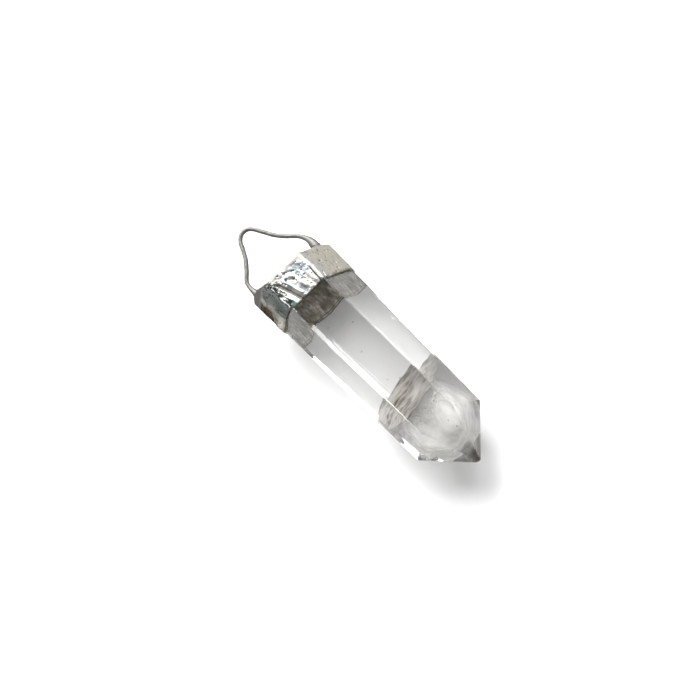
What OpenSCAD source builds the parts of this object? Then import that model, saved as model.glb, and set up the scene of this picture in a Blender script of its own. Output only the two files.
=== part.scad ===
/* [Crystal] */
// Width across two opposite corners, at the cap's rim
crystal_w = 18.8; // [16:0.1:24]
// Width across two opposite corners, where the point begins
shoulder_w = 17.2; // [14:0.1:22]
// Length of the bare prism, from the cap's rim to where the point begins
prism_len = 41.2; // [30:0.2:60]
// Length of the six-sided point
point_len = 9; // [7:0.5:12]
// Length that the cap covers
covered_len = 6.1; // [5:0.1:10]
// Length of the narrowed stretch at the covered end
butt_len = 1.2; // [0.8:0.1:2]
// Slope of the narrowed stretch, in degrees
butt_slope = 35; // [20:1:40]

/* [Cap] */
// Thickness of the solder over the crystal's sides
solder_t = 0.45; // [0.4:0.05:0.8]
// Thickness of the solder over the crystal's covered end
end_t = 0.75; // [0.6:0.05:1.5]
// Gap between the crystal and the cap
fit_gap = 0.05; // [0.03:0.01:0.1]
// How far the rim reaches down the upper side
rim_front = 1.6; // [0.6:0.1:2]
// How far the rim reaches down the lower side
rim_back = 3; // [2:0.1:4]
// How far the cap's corners stand out past the crystal's
corner_proud = 0.25; // [0.2:0.01:0.3]
// Radius where the cap's sides turn in to its end
cap_round = 0.7; // [0.4:0.1:0.9]
// How far the solder climbs the bail's feet
ear_h = 3.2; // [2:0.1:4]
// Depth of the folds pressed into the solder
fold_depth = 0.2; // [0.1:0.01:0.25]
// Width of those folds
fold_w = 0.9; // [0.6:0.1:1.5]

/* [Bail] */
// Diameter of the wire
wire_d = 0.95; // [0.8:0.05:1.2]
// Height of the loop above the cap, to the middle of the wire
bail_rise = 16.6; // [12:0.2:20]

/* [Hidden] */

// The crystal's six sides. Azimuth in degrees runs from straight up towards
// +Y. The distances from the axis are shares of a regular crystal's. The faces
// of the point don't quite meet at its tip: each passes it at a share of the
// shoulder's distance. Nor are the sides equally long: each stops short at both
// ends by a share of butt_len.
AZIMUTH = 0;
AT_RIM = 1;
AT_SHOULDER = 2;
AT_TIP = 3;
STOPS_SHORT = 4;
SIDES = [
    [0, 1.00, 1.00, 0.00, 0.15],
    [60, 0.93, 0.99, 0.03, 0.35],
    [120, 1.07, 1.02, 0.05, 0.15],
    [180, 1.00, 1.00, 0.01, 0.00],
    [240, 0.98, 0.985, 0.06, 0.20],
    [300, 1.02, 1.005, 0.02, 0.40],
];

// The rim, from azimuth to azimuth: how far it reaches, as shares of rim_front
// on the upper half and of rim_back on the lower half.
RIM = [
    [0, 1.00],
    [35, 0.94],
    [60, 0.50],
    [90, 0.05],
    [130, 0.70],
    [180, 1.00],
    [230, 0.66],
    [270, 0.00],
    [300, 0.05],
    [322, 0.45],
    [335, 0.95],
    [360, 1.00],
];

// The cap's end, from azimuth to azimuth: how far the solder climbs towards the
// bail, as a share of ear_h.
EARS = [
    [0, 0.00],
    [35, 0.00],
    [60, 0.25],
    [75, 0.40],
    [105, 0.40],
    [130, 0.12],
    [180, 0.00],
    [225, 0.12],
    [250, 0.58],
    [270, 0.88],
    [285, 1.00],
    [301, 0.80],
    [315, 0.42],
    [330, 0.04],
    [360, 0.00],
];

// The folds: azimuth at the end and at the rim, then where each starts and
// stops, as shares of the cap's length from its end, then its depth as a share
// of fold_depth. A negative depth is a ridge.
FOLD_AT_END = 0;
FOLD_AT_RIM = 1;
FOLD_FROM = 2;
FOLD_TO = 3;
FOLD_SHARE = 4;
FOLDS = [
    [-27, -13, 0.20, 1.05, 1.0],
    [24, 20, 0.50, 1.05, 0.9],
    [37, 29, 0.78, 1.05, 0.6],
    [-5, 4, 0.25, 0.80, -0.5],
    [-48, -40, 0.35, 1.05, -0.5],
    [70, 62, 0.10, 0.85, 0.5],
    [112, 124, 0.25, 1.05, 0.8],
    [158, 150, 0.15, 0.90, 0.7],
    [196, 203, 0.30, 1.05, 0.9],
    [238, 229, 0.10, 0.80, 0.6],
    [-88, -82, 0.55, 1.05, -0.9],
];

// The bail's middle line from foot to foot: height above the cap's end as a
// share of bail_rise, place across as a share of the cap's half width, and
// thickness with its solder as a share of wire_d.
BAIL_UP = 0;
BAIL_ACROSS = 1;
BAIL_THICK = 2;
BAIL = [
    [0.02, -0.77, 1.7],
    [0.12, -0.8, 2.2],
    [0.22, -0.825, 2],
    [0.30, -0.838, 1.35],
    [0.38, -0.84, 1],
    [0.45, -0.815, 1],
    [0.51, -0.745, 1],
    [0.58, -0.635, 1.08],
    [0.70, -0.48, 1],
    [0.81, -0.385, 1],
    [0.92, -0.3, 1],
    [0.98, -0.205, 1],
    [1.00, -0.1, 1],
    [0.98, 0.01, 1],
    [0.92, 0.1, 1],
    [0.80, 0.205, 1],
    [0.66, 0.325, 1],
    [0.54, 0.47, 1],
    [0.42, 0.655, 1],
    [0.34, 0.735, 1.15],
    [0.26, 0.78, 1.5],
    [0.15, 0.785, 2.1],
    [0.02, 0.76, 1.7],
];

// Share of the cap's length over which a fold fades in and out
FOLD_FADE = 0.15;
// How far the rim's edge is drawn in, and the thinnest that a fold may leave
// the wall, as shares of solder_t
RIM_BEVEL = 0.25;
THINNEST = 0.3;
// The ring where the cap's end dips: its size as a share of the cap's, and how
// much of the climb it keeps
DIP_SIZE = 0.55;
DIP_CLIMB = 0.3;

// How finely the cap and the wire are divided
SIDE_POINTS = 12;
CAP_RINGS = 12;
ROUND_RINGS = 3;
WIRE_SIDES = 12;
WIRE_STEPS = 2;

COS_CORNER = cos(30);
REACH = 4 * (prism_len + point_len + covered_len + bail_rise);

crystal_r = crystal_w / 2 * COS_CORNER;
shoulder_r = shoulder_w / 2 * COS_CORNER;
point_x = prism_len + point_len;
butt_x = butt_len - covered_len;
wall_out = fit_gap + solder_t;
end_x = -covered_len - fit_gap - end_t;

// Half width of the cap between two opposite corners
cap_w = crystal_w / 2 + corner_proud;

// The cap's corners are softened by a sum of high powers. This power brings
// them to cap_w.
soft_power = ln(2) / ln((crystal_r + wall_out) / COS_CORNER / cap_w);

// The pendant lies on the lower edge of its cap and on the lower edge of its
// point, so its axis falls a little towards the point.
lower_taper = atan((crystal_r - shoulder_r) / prism_len);
rim_drop = crystal_r - rim_back * tan(lower_taper) + wall_out;
rest_tilt = atan((rim_drop - shoulder_r) / (prism_len - rim_back));
axis_z = shoulder_r * cos(rest_tilt) + prism_len * sin(rest_tilt);
bail_top_x = end_x - bail_rise - wire_d / 2;
middle_x = (point_x + bail_top_x) * cos(rest_tilt) / 2;

function total(list) = list * [for (item = list) 1];
function smooth(value) = let (v = min(max(value, 0), 1)) v * v * (3 - 2 * v);
function turn(from, to) = (to - from + 540) % 360 - 180;

function taper(side) =
    atan((crystal_r * side[AT_RIM] - shoulder_r * side[AT_SHOULDER]) / prism_len);
function side_r(side, x) = crystal_r * side[AT_RIM] - x * tan(taper(side));

// The same for the covered end too, where the sides are narrowed
function covered_r(side, x) =
    x > butt_x ? side_r(side, x) : side_r(side, butt_x) + (x - butt_x) * tan(butt_slope);

// Azimuth of the corner between a side and the next one
function corner(index, x) =
    let (a = SIDES[index % 6], b = SIDES[(index + 1) % 6],
         across = covered_r(a, x) * cos(b[AZIMUTH]) - covered_r(b, x) * cos(a[AZIMUTH]),
         up = covered_r(b, x) * sin(a[AZIMUTH]) - covered_r(a, x) * sin(b[AZIMUTH]),
         flip = sin(a[AZIMUTH] - b[AZIMUTH]))
    atan2(across / flip, up / flip);

// Azimuths round the cap, SIDE_POINTS of them on each side from its corner
function spokes(x) =
    [for (index = [0:5])
        let (from = corner(index + 5, x), to = corner(index, x))
        for (step = [0:SIDE_POINTS - 1])
            [from + turn(from, to) * step / SIDE_POINTS, index, step]];

function rim_x(azimuth) =
    lookup((azimuth + 360) % 360, RIM) * (cos(azimuth) > 0 ? rim_front : rim_back);
function climb(azimuth) = ear_h * lookup((azimuth + 360) % 360, EARS);

// Distance from the axis to the cap's skin before its folds are pressed in
function skin_r(azimuth, x) =
    pow(total([for (side = SIDES)
        pow(max(cos(azimuth - side[AZIMUTH]), 0) / (side_r(side, x) + wall_out), soft_power)]),
        -1 / soft_power);

// How deep the folds are at an azimuth and a share of the cap's length
function fold(azimuth, share, r) =
    total([for (row = FOLDS)
        let (middle = row[FOLD_AT_END] + (row[FOLD_AT_RIM] - row[FOLD_AT_END]) * share,
             off = turn(middle, azimuth) * PI / 180 * r / fold_w,
             ends = smooth((share - row[FOLD_FROM]) / FOLD_FADE)
                  * smooth((row[FOLD_TO] - share) / FOLD_FADE))
        row[FOLD_SHARE] * fold_depth * exp(-2 * off * off) * ends]);

function on_ring(azimuth, x, r) = [x, r * sin(azimuth), r * cos(azimuth)];

// The cap's skin turns in to its end over the first rings, then runs straight
// to the rim, whose last ring is drawn in a little.
function outer_ring(index) =
    [for (spoke = spokes(0))
        let (azimuth = spoke[0],
             bend = 90 * min(index / ROUND_RINGS, 1),
             start = end_x - climb(azimuth) + cap_round * (1 - cos(bend)),
             run = max(index - ROUND_RINGS, 0) / (CAP_RINGS - ROUND_RINGS),
             x = start + (rim_x(azimuth) - start) * run,
             full = skin_r(azimuth, x),
             inset = cap_round * (1 - sin(bend)) + (run == 1 ? RIM_BEVEL * solder_t : 0),
             r = full - inset - fold(azimuth, run, full))
        on_ring(azimuth, x, bend < 90 ? r : max(r, hollow_r(spoke, x) + THINNEST * solder_t))];

// The cap's end dips between the bail's feet.
function dip_ring() =
    [for (spoke = spokes(0))
        let (azimuth = spoke[0])
        on_ring(azimuth, end_x - DIP_CLIMB * climb(azimuth), DIP_SIZE * skin_r(azimuth, end_x))];

// The cap's hollow keeps fit_gap from the crystal's sides. A point on a corner
// takes the larger of its two sides.
function hollow_r(spoke, x) =
    let (one = SIDES[spoke[1]],
         other = SIDES[(spoke[1] + 5) % 6],
         r = (covered_r(one, x) + fit_gap) / cos(spoke[0] - one[AZIMUTH]))
    spoke[2] > 0 ? r : max(r, (covered_r(other, x) + fit_gap) / cos(spoke[0] - other[AZIMUTH]));

function hollow_ring(x) =
    [for (spoke = spokes(x)) on_ring(spoke[0], x, hollow_r(spoke, x))];
function hollow_mouth() =
    [for (spoke = spokes(0))
        let (x = rim_x(spoke[0])) on_ring(spoke[0], x, hollow_r(spoke, x))];

// The skin through rings of points, closed at each end on its middle
function middle(ring) = [for (axis = [0:2]) total([for (p = ring) p[axis]]) / len(ring)];
function loft_points(rings) =
    [middle(rings[0]), for (ring = rings) each ring, middle(rings[len(rings) - 1])];
function loft_faces(rings) =
    let (n = len(rings[0]), last = len(rings) * n + 1)
    [for (i = [0:n - 1])
        let (j = (i + 1) % n)
        each [
            [0, 1 + i, 1 + j],
            for (k = [0:len(rings) - 2])
                each [
                    [1 + k * n + i, 1 + (k + 1) * n + i, 1 + (k + 1) * n + j],
                    [1 + k * n + i, 1 + (k + 1) * n + j, 1 + k * n + j],
                ],
            [last, last - n + j, last - n + i],
        ]];

module loft(rings)
    polyhedron(loft_points(rings), loft_faces(rings), convexity = 6);

module cap()
    loft([
        hollow_ring(-covered_len - fit_gap),
        hollow_ring(butt_x),
        hollow_mouth(),
        for (index = [CAP_RINGS:-1:0]) outer_ring(index),
        dip_ring(),
    ]);

// The bail's middle line and radius, with smooth stretches between the rows
function bail_row(index) =
    let (row = BAIL[min(max(index, 0), len(BAIL) - 1)])
    [end_x - row[BAIL_UP] * bail_rise, row[BAIL_ACROSS] * cap_w, row[BAIL_THICK] * wire_d / 2];
function blend(a, b, c, d, t) =
    b + t * ((c - a) + t * ((2 * a - 5 * b + 4 * c - d) + t * (3 * b - a - 3 * c + d))) / 2;
function bail_point(t) =
    let (i = floor(t))
    blend(bail_row(i - 1), bail_row(i), bail_row(i + 1), bail_row(i + 2), t - i);

function wire_ring(t) =
    let (here = bail_point(t),
         ahead = bail_point(t + 0.1) - bail_point(t - 0.1),
         heading = atan2(ahead.y, ahead.x))
    [for (step = [0:WIRE_SIDES - 1])
        let (round = step * 360 / WIRE_SIDES)
        [here.x, here.y, 0]
        + here.z * [-sin(heading) * cos(round), cos(heading) * cos(round), sin(round)]];

module bail()
    loft([for (step = [0:(len(BAIL) - 1) * WIRE_STEPS]) wire_ring(step / WIRE_STEPS)]);

// Everything under a plane that crosses [x, r] and falls by lean degrees
// towards the point
module under(x, r, lean)
    translate([x, 0, r])
        rotate([0, lean, 0])
            translate([-REACH / 2, -REACH / 2, -REACH])
                cube(REACH);

module lie_down()
    translate([-middle_x, 0, axis_z])
        rotate([0, rest_tilt, 0])
            children();

module crystal()
    color([0.93, 0.94, 0.95, 0.5])
        lie_down()
            intersection() {
                under(-covered_len, 0, -90);
                intersection_for (side = SIDES)
                    rotate([-side[AZIMUTH], 0, 0])
                        intersection() {
                            short = side[STOPS_SHORT] * butt_len;
                            from = butt_x + short;
                            to = prism_len - short;
                            tip_r = side[AT_TIP] * shoulder_r;
                            under(to, side_r(side, to), taper(side));
                            under(to, side_r(side, to), atan((side_r(side, to) - tip_r) / (point_x - to)));
                            under(from, side_r(side, from), -butt_slope);
                        }
            }

module cap_with_bail()
    color("silver")
        lie_down()
            union() {
                cap();
                bail();
            }

crystal();
cap_with_bail();
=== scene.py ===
import math

import bmesh
import bpy
import numpy as np
from mathutils import Matrix, Vector, noise


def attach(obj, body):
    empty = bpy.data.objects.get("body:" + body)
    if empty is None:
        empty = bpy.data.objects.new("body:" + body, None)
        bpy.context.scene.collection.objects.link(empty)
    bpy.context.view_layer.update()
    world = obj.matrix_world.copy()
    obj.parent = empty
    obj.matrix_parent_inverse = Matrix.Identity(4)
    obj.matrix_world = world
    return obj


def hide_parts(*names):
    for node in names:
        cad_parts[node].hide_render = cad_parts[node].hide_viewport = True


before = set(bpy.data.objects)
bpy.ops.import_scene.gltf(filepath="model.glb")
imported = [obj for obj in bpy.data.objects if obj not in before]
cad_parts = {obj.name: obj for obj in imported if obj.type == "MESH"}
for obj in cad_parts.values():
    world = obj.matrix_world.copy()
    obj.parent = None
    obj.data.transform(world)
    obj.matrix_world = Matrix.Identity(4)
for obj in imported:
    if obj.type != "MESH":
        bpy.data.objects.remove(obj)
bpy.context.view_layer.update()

# The crystal point pendant: a clear quartz prism with a six-sided point, a
# hand-dressed solder cap over its other end, and a bent wire bail soldered to
# the cap. Shapes are worked out in millimetres along the crystal's own axis,
# with 0 where the cap's rim reaches least, the point towards +X and the upper
# face towards +Z, and are then laid down where the frame has them.

MM = 0.001

# Crystal: widths across its corners, lengths, and the narrowed butt in the cap
CRYSTAL_W = 18.8
SHOULDER_W = 17.2
PRISM_LEN = 41.2
POINT_LEN = 9.0
COVERED_LEN = 6.1
BUTT_LEN = 1.2
BUTT_SLOPE = math.radians(35)
EDGE_ROUND = 0.09

# Cap: the skin's distance from the crystal, the end's thickness, how far the
# rim reaches on the upper and the lower side, the corners' distance from the
# axis, the rounding round the end, and the height of the ears
WALL_OUT = 0.5
END_T = 0.75
RIM_FRONT = 1.6
RIM_BACK = 3.0
CAP_CORNER_R = 9.65
CAP_ROUND = 0.7
EAR_H = 3.2
# How much of the ears' climb the end face takes up on its way out
EAR_BLEND = 6 / 11
# Room between the crystal and the cap's end, and between the crystal and the lining
FIT_GAP = 0.05
HOLLOW_GAP = 0.03
# The rim's lip: how far past the rim, and how far in from the skin
RIM_LIP = ((0.05, 0.12), (0.02, 0.50))
# Size of the grains that the solder is remeshed with, and the least wall left
GRAIN = 0.13
LEAST_WALL = 0.14

# Bail
WIRE_D = 0.95
WIRE_SIDES = 20
WIRE_STEP = 0.15
BAIL_RISE = 16.6

COS_CORNER = math.cos(math.radians(30))
CRYSTAL_R = CRYSTAL_W / 2 * COS_CORNER
SHOULDER_R = SHOULDER_W / 2 * COS_CORNER
BUTT_X = BUTT_LEN - COVERED_LEN
END_X = -COVERED_LEN - FIT_GAP - END_T
SOFT_POWER = math.log(2) / math.log((CRYSTAL_R + WALL_OUT) / COS_CORNER / CAP_CORNER_R)

# The crystal's sides: azimuth in degrees from straight up towards +Y, and
# distances from the axis at the rim and at the shoulder, as shares.
SIDES = (
    (0, 1.00, 1.00),
    (60, 0.93, 0.99),
    (120, 1.07, 1.02),
    (180, 1.00, 1.00),
    (240, 0.98, 0.985),
    (300, 1.02, 1.005),
)

# Long edges worn to narrow facets: the facet's azimuth, the edge's, and how much
# is gone at the rim and at the shoulder
SHAVED_EDGES = ((31, 30, 0.05, 0.08), (193, 210, 0.14, 0.50))
# The upper left edge, worn from a place outside the cap: its azimuth, where the
# wear begins, and how much is gone there and at the shoulder
WORN_AZIMUTH = 330
WORN_FROM = 7.0
WORN_GONE = (0.36, 0.04)

# Azimuth, and how far the rim reaches there
RIM = (
    (0, 1.00), (35, 0.94), (60, 0.50), (90, 0.05), (130, 0.70), (180, 1.00),
    (230, 0.66), (270, 0.00), (300, 0.05), (322, 0.45), (335, 0.95), (360, 1.00),
)

# Azimuth, and how far the solder climbs the bail's feet there
EARS = (
    (0, 0.00), (35, 0.00), (60, 0.25), (75, 0.40), (105, 0.40), (130, 0.12), (180, 0.00), (225, 0.12),
    (250, 0.58), (270, 0.88), (285, 1.00), (301, 0.80), (315, 0.42), (330, 0.04), (360, 0.00),
)

# The bail's height above the cap's end, place across and thickness, as shares of
# its rise, of the cap's half width and of the wire
BAIL = (
    (0.02, -0.77, 1.7), (0.12, -0.80, 2.2), (0.22, -0.825, 2.0), (0.30, -0.838, 1.35), (0.38, -0.84, 1.0),
    (0.45, -0.815, 1.0), (0.51, -0.745, 1.0), (0.58, -0.635, 1.08), (0.70, -0.48, 1.0), (0.81, -0.385, 1.0),
    (0.92, -0.30, 1.0), (0.98, -0.205, 1.0), (1.00, -0.10, 1.0), (0.98, 0.01, 1.0), (0.92, 0.10, 1.0),
    (0.80, 0.205, 1.0), (0.66, 0.325, 1.0), (0.54, 0.47, 1.0), (0.42, 0.655, 1.0), (0.34, 0.735, 1.15),
    (0.26, 0.78, 1.5), (0.15, 0.785, 2.1), (0.02, 0.76, 1.7),
)

# Folds in the solder, and ridges where the depth is below 0: azimuth at the end
# and at the rim, from and to as shares of the cap's length, depth and width
CREASES = (
    (-27, -13, 0.20, 1.10, 0.34, 0.42),
    (24, 21, 0.48, 1.10, 0.26, 0.20),
    (37, 30, 0.76, 1.10, 0.22, 0.16),
    (62, 50, 0.92, 1.10, 0.18, 0.20),
    (70, 62, 0.10, 0.85, 0.06, 0.50),
    (112, 124, 0.25, 1.10, 0.22, 0.40),
    (158, 150, 0.15, 0.95, 0.18, 0.35),
    (196, 203, 0.30, 1.10, 0.24, 0.45),
    (238, 229, 0.10, 0.85, 0.16, 0.40),
    (-62, -52, 0.55, 1.10, 0.14, 0.30),
    (-20, -6, 0.20, 1.10, -0.12, 0.50),
    (-36, -21, 0.30, 1.10, -0.16, 0.55),
    (30, 25, 0.80, 1.10, -0.12, 0.50),
    (-88, -82, 0.60, 1.10, -0.22, 1.10),
    (-100, -97, 0.72, 1.10, -0.16, 0.80),
    (-8, 6, 0.22, 0.90, -0.10, 0.60),
    (10, 14, 0.30, 1.10, 0.07, 0.45),
)
# Share of the cap's length over which a fold runs out
CREASE_END = 0.12

# Pits: azimuth, share of the cap's length, radius, depth
PITS = (
    (62, 0.10, 0.26, 0.24), (56, 0.22, 0.20, 0.20), (49, 0.12, 0.16, 0.16), (77, 0.12, 0.24, 0.24),
    (66, 0.38, 0.20, 0.18), (60, 0.50, 0.24, 0.20), (46, 0.45, 0.28, 0.22), (55, 0.70, 0.18, 0.16),
    (72, 0.60, 0.14, 0.14), (38, 0.55, 0.20, 0.16), (42, 0.62, 0.16, 0.14), (59, 0.93, 0.24, 0.22),
    (28, 0.25, 0.18, 0.14), (-8, 0.18, 0.26, 0.22), (-12, 0.34, 0.24, 0.20), (-3, 0.46, 0.30, 0.24),
    (4, 0.30, 0.16, 0.14), (-16, 0.10, 0.22, 0.20), (-34, 0.12, 0.26, 0.20), (-42, 0.22, 0.24, 0.18),
    (-30, 0.40, 0.26, 0.22), (-52, 0.14, 0.24, 0.18), (-84, 0.86, 0.30, 0.28), (-76, 0.80, 0.24, 0.24),
    (-95, 0.92, 0.26, 0.22), (-90, 0.70, 0.20, 0.18), (96, 0.35, 0.24, 0.2), (120, 0.6, 0.26, 0.22),
    (146, 0.3, 0.24, 0.2), (171, 0.7, 0.28, 0.22), (188, 0.35, 0.22, 0.18), (214, 0.55, 0.26, 0.2),
    (226, 0.2, 0.24, 0.2), (247, 0.5, 0.26, 0.2),
)
PINHOLE_DEPTH = 0.16

# The streaked veil: where it crosses the middle of the upper side, how much
# nearer the cap it lies for each millimetre down and to the right, and how thick
# the veils are
VEIL_X = 35.5
VEIL_LEAN = 0.71
VEIL_SWEEP = 0.19
VEIL_T = 0.03

# Milky veils: name, middle, reach along and across, bulge, and finish
MILK_VEILS = (
    ("milk_high", (41.4, 1.8, 4.4), (4.8, 0.6, -1.2), (-0.4, 3.2, -0.3), 0.3, "white_veil"),
    ("milk_low", (39.5, -0.5, 0.0), (8.0, 0.5, 0.2), (0.4, 10.0, 0.6), 0.8, "milky_veil"),
    ("milk_middle", (40.0, 0.0, 3.2), (7.6, 0.4, -1.0), (0.0, 9.0, 0.4), 0.5, "milky_veil"),
    ("milk_right", (40.4, 3.6, 3.2), (5.8, -1.0, -1.6), (0.9, 5.0, -2.0), 0.3, "milky_veil"),
    ("milk_left", (40.4, -3.6, 3.0), (5.8, 1.0, -1.6), (0.9, -5.0, -2.0), 0.3, "milky_veil"),
)
# Milky finishes: name, cover where it is thickest, and scale of its clouds
MILK_FINISHES = (("milky_veil", 0.86, 240), ("white_veil", 0.97, 300))

# Bright flakes: name, middle, reach along and across, flakes on a square
# millimetre, smallest and largest radius, and seed
FLAKES = (
    ("flakes_left", (38.5, -5.5, 0.5), (4.0, 0.3, 0.0), (0.0, 1.5, 3.0), 9.0, 0.08, 0.40, 3),
    ("flakes_veil", (37.0, 0.3, 5.2), (1.1, 0.0, -1.0), (-0.8, 4.6, 0.2), 5.0, 0.06, 0.35, 8),
)

# Dark specks under the crystal's skin
SPECKS = (
    (26.9, -1.5, 7.0), (28.5, 0.5, 6.9), (41.8, 1.3, 6.1), (43.5, 1.7, 4.8), (29.7, -2.6, 6.9),
    (18.6, -1.2, 7.1), (33.2, -3.4, 6.0), (22.3, 5.1, 3.8), (12.4, 1.8, 6.4), (38.6, -2.1, 4.2),
    (44.6, -0.6, 2.8), (8.1, -2.6, 2.0), (16.0, -4.4, -3.2), (35.4, 4.6, 1.5),
)

# Camera: its place in millimetres, and its focal length in pixels of the picture
CAMERA_ELEVATION = math.radians(63.1)
CAMERA_ROLL = math.radians(45)
CAMERA_PLACE = (268.9, -2.6, 538.4)
FOCAL_PX = 2926.8
IMAGE_PX = 700
SENSOR_W = 36.0

# Softboxes aimed at the pendant: name, place and size in metres, and power in watts
SOFTBOXES = (
    ("key", (-0.42, 0.60, 0.66), 1.0, 0.9, 9.6),
    ("top", (0.28, 0.08, 0.96), 0.6, 0.6, 0.2),
    ("back", (-0.80, 0.12, 0.58), 0.9, 0.8, 20.0),
    ("side", (-0.452, -0.785, 0.42), 0.24, 0.24, 2.0),
)

# The pendant rests on its cap's lower rim and on its lower shoulder
LOWER_TAPER = math.atan((CRYSTAL_R - SHOULDER_R) / PRISM_LEN)
RIM_DROP = CRYSTAL_R - RIM_BACK * math.tan(LOWER_TAPER) + WALL_OUT
REST_TILT = math.atan((RIM_DROP - SHOULDER_R) / (PRISM_LEN - RIM_BACK))
AXIS_Z = SHOULDER_R * math.cos(REST_TILT) + PRISM_LEN * math.sin(REST_TILT)
BAIL_TOP_X = END_X - BAIL_RISE - WIRE_D / 2
MIDDLE_X = (PRISM_LEN + POINT_LEN + BAIL_TOP_X) * math.cos(REST_TILT) / 2

# A side counts towards a distance only where it faces the azimuth this much
LEAST_FACING = 0.2
FAR = 1e3


# Places round the crystal's axis

def lay_down(points):
    """Points in millimetres along the crystal's axis, as places in the frame."""
    x, y, z = np.asarray(points, float).T
    cos, sin = math.cos(REST_TILT), math.sin(REST_TILT)
    return np.stack([x * cos + z * sin - MIDDLE_X, y, z * cos - x * sin + AXIS_Z], axis=1) * MM


def ring(x, r, azimuth):
    """Points round the axis, at a place along it and a distance from it."""
    rad = np.radians(azimuth)
    return np.stack([x + 0 * rad, r * np.sin(rad), r * np.cos(rad)], axis=1)


def turn(azimuth, middle):
    """How far an azimuth lies from another, from -180 to 180."""
    return (azimuth - middle + 180) % 360 - 180


def by_azimuth(table, azimuth):
    rows = np.array(table)
    return np.interp(np.mod(azimuth, 360), rows[:, 0], rows[:, 1])


def smooth(value):
    v = np.clip(value, 0, 1)
    return v * v * (3 - 2 * v)


def between(value, low, rise, high, fall, ragged=0.0):
    """1 between two values and 0 beyond them, with soft or ragged ends."""
    return smooth((value - low + ragged) / rise) * smooth((high - value + ragged) / fall)


def grown(points, size, place):
    """Smooth noise of a given grain size at each point, from -1 to 1."""
    return np.array([noise.noise(Vector(p) / size + Vector((place, 2 * place, -place))) for p in points])


def side_r(side, x):
    """Distance from the axis to a crystal side."""
    return CRYSTAL_R * side[1] - x * (CRYSTAL_R * side[1] - SHOULDER_R * side[2]) / PRISM_LEN


def covered_r(side, x):
    """The same, narrowed at the covered end."""
    narrowed = side_r(side, BUTT_X) + (x - BUTT_X) * math.tan(BUTT_SLOPE)
    return np.where(x > BUTT_X, side_r(side, x), narrowed)


def nearest_side(azimuth, reach):
    """Distance from the axis to the first side met, from how far off each one stands."""
    nearest = np.full(np.shape(azimuth), FAR)
    for side in SIDES:
        facing = np.cos(np.radians(azimuth - side[0]))
        met = reach(side) / np.maximum(facing, LEAST_FACING)
        nearest = np.minimum(nearest, np.where(facing > LEAST_FACING, met, FAR))
    return nearest


def hollow_r(azimuth, x):
    """Distance from the axis to the cap's lining."""
    return nearest_side(azimuth, lambda side: covered_r(side, x) + HOLLOW_GAP)


def inside_r(azimuth, x, inset):
    """Distance from the axis to just under the crystal's skin."""
    def reach(side):
        on_point = SHOULDER_R * side[2] * (PRISM_LEN + POINT_LEN - x) / POINT_LEN
        return np.minimum(side_r(side, x), on_point) - inset

    return nearest_side(azimuth, reach)


def skin_r(azimuth, x):
    """Distance from the axis to the cap's skin, with softened corners."""
    total = 0
    for side in SIDES:
        facing = np.maximum(np.cos(np.radians(azimuth - side[0])), 0)
        total = total + (facing / (side_r(side, x) + WALL_OUT)) ** SOFT_POWER
    return total ** (-1 / SOFT_POWER)


def rim_x(azimuth):
    reach = np.where(np.cos(np.radians(azimuth)) > 0, RIM_FRONT, RIM_BACK)
    return by_azimuth(RIM, azimuth) * reach


def corner_azimuth(one, other, x):
    """Azimuth of the edge between two crystal sides."""
    a, b = math.radians(one[0]), math.radians(other[0])
    ra, rb = covered_r(one, x), covered_r(other, x)
    flip = math.sin(a - b)
    y = (ra * math.cos(b) - rb * math.cos(a)) / flip
    z = (rb * math.sin(a) - ra * math.sin(b)) / flip
    return math.degrees(math.atan2(y, z))


def edge_reach(one, other, azimuth, x):
    """How far the edge between two sides reaches along an azimuth."""
    corner = corner_azimuth(one, other, x)
    reach = covered_r(one, x) / math.cos(math.radians(corner - one[0]))
    return reach * math.cos(math.radians(corner - azimuth))


# Meshes

def link_object(name, data):
    obj = bpy.data.objects.new(name, data)
    bpy.context.scene.collection.objects.link(obj)
    return obj


def new_object(name, verts, faces):
    mesh = bpy.data.meshes.new(name)
    mesh.from_pydata([tuple(v) for v in verts], [], [tuple(f) for f in faces])
    mesh.update()
    return link_object(name, mesh)


def positions(mesh):
    flat = np.empty(len(mesh.vertices) * 3)
    mesh.vertices.foreach_get("co", flat)
    return flat.reshape(-1, 3)


def set_positions(mesh, points):
    mesh.vertices.foreach_set("co", np.asarray(points, float).ravel())
    mesh.update()


def normals(mesh):
    flat = np.empty(len(mesh.vertices) * 3)
    mesh.vertices.foreach_get("normal", flat)
    return flat.reshape(-1, 3)


def give_values(mesh, name, values):
    """Stores a number at each point of a mesh."""
    attribute = mesh.attributes.new(name, "FLOAT", "POINT")
    attribute.data.foreach_set("value", np.asarray(values, np.float32))


def bake(obj):
    """Turns an object with modifiers into a plain mesh."""
    depsgraph = bpy.context.evaluated_depsgraph_get()
    mesh = bpy.data.meshes.new_from_object(obj.evaluated_get(depsgraph))
    obj.modifiers.clear()
    obj.data = mesh


def cut_out(obj, other):
    """Takes one body out of another."""
    cut = obj.modifiers.new("Cut", "BOOLEAN")
    cut.operation = "DIFFERENCE"
    cut.solver = "MANIFOLD"
    cut.object = other
    bake(obj)
    bpy.data.objects.remove(other)


def shade_smooth(mesh, angle=None):
    mesh.shade_smooth()
    if angle is not None:
        mesh.set_sharp_from_angle(angle=math.radians(angle))


def loft(rings):
    """Vertices and faces through rings of points, closed at both ends."""
    n, count = len(rings[0]), len(rings)
    verts = np.concatenate([rings[0].mean(0, keepdims=True), *rings, rings[-1].mean(0, keepdims=True)])
    faces = []
    last = count * n + 1
    for i in range(n):
        j = (i + 1) % n
        faces.append((0, 1 + j, 1 + i))
        for k in range(count - 1):
            a, b = 1 + k * n, 1 + (k + 1) * n
            faces.append((a + i, a + j, b + j, b + i))
        faces.append((last, last - n + i, last - n + j))
    return verts, faces


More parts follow.
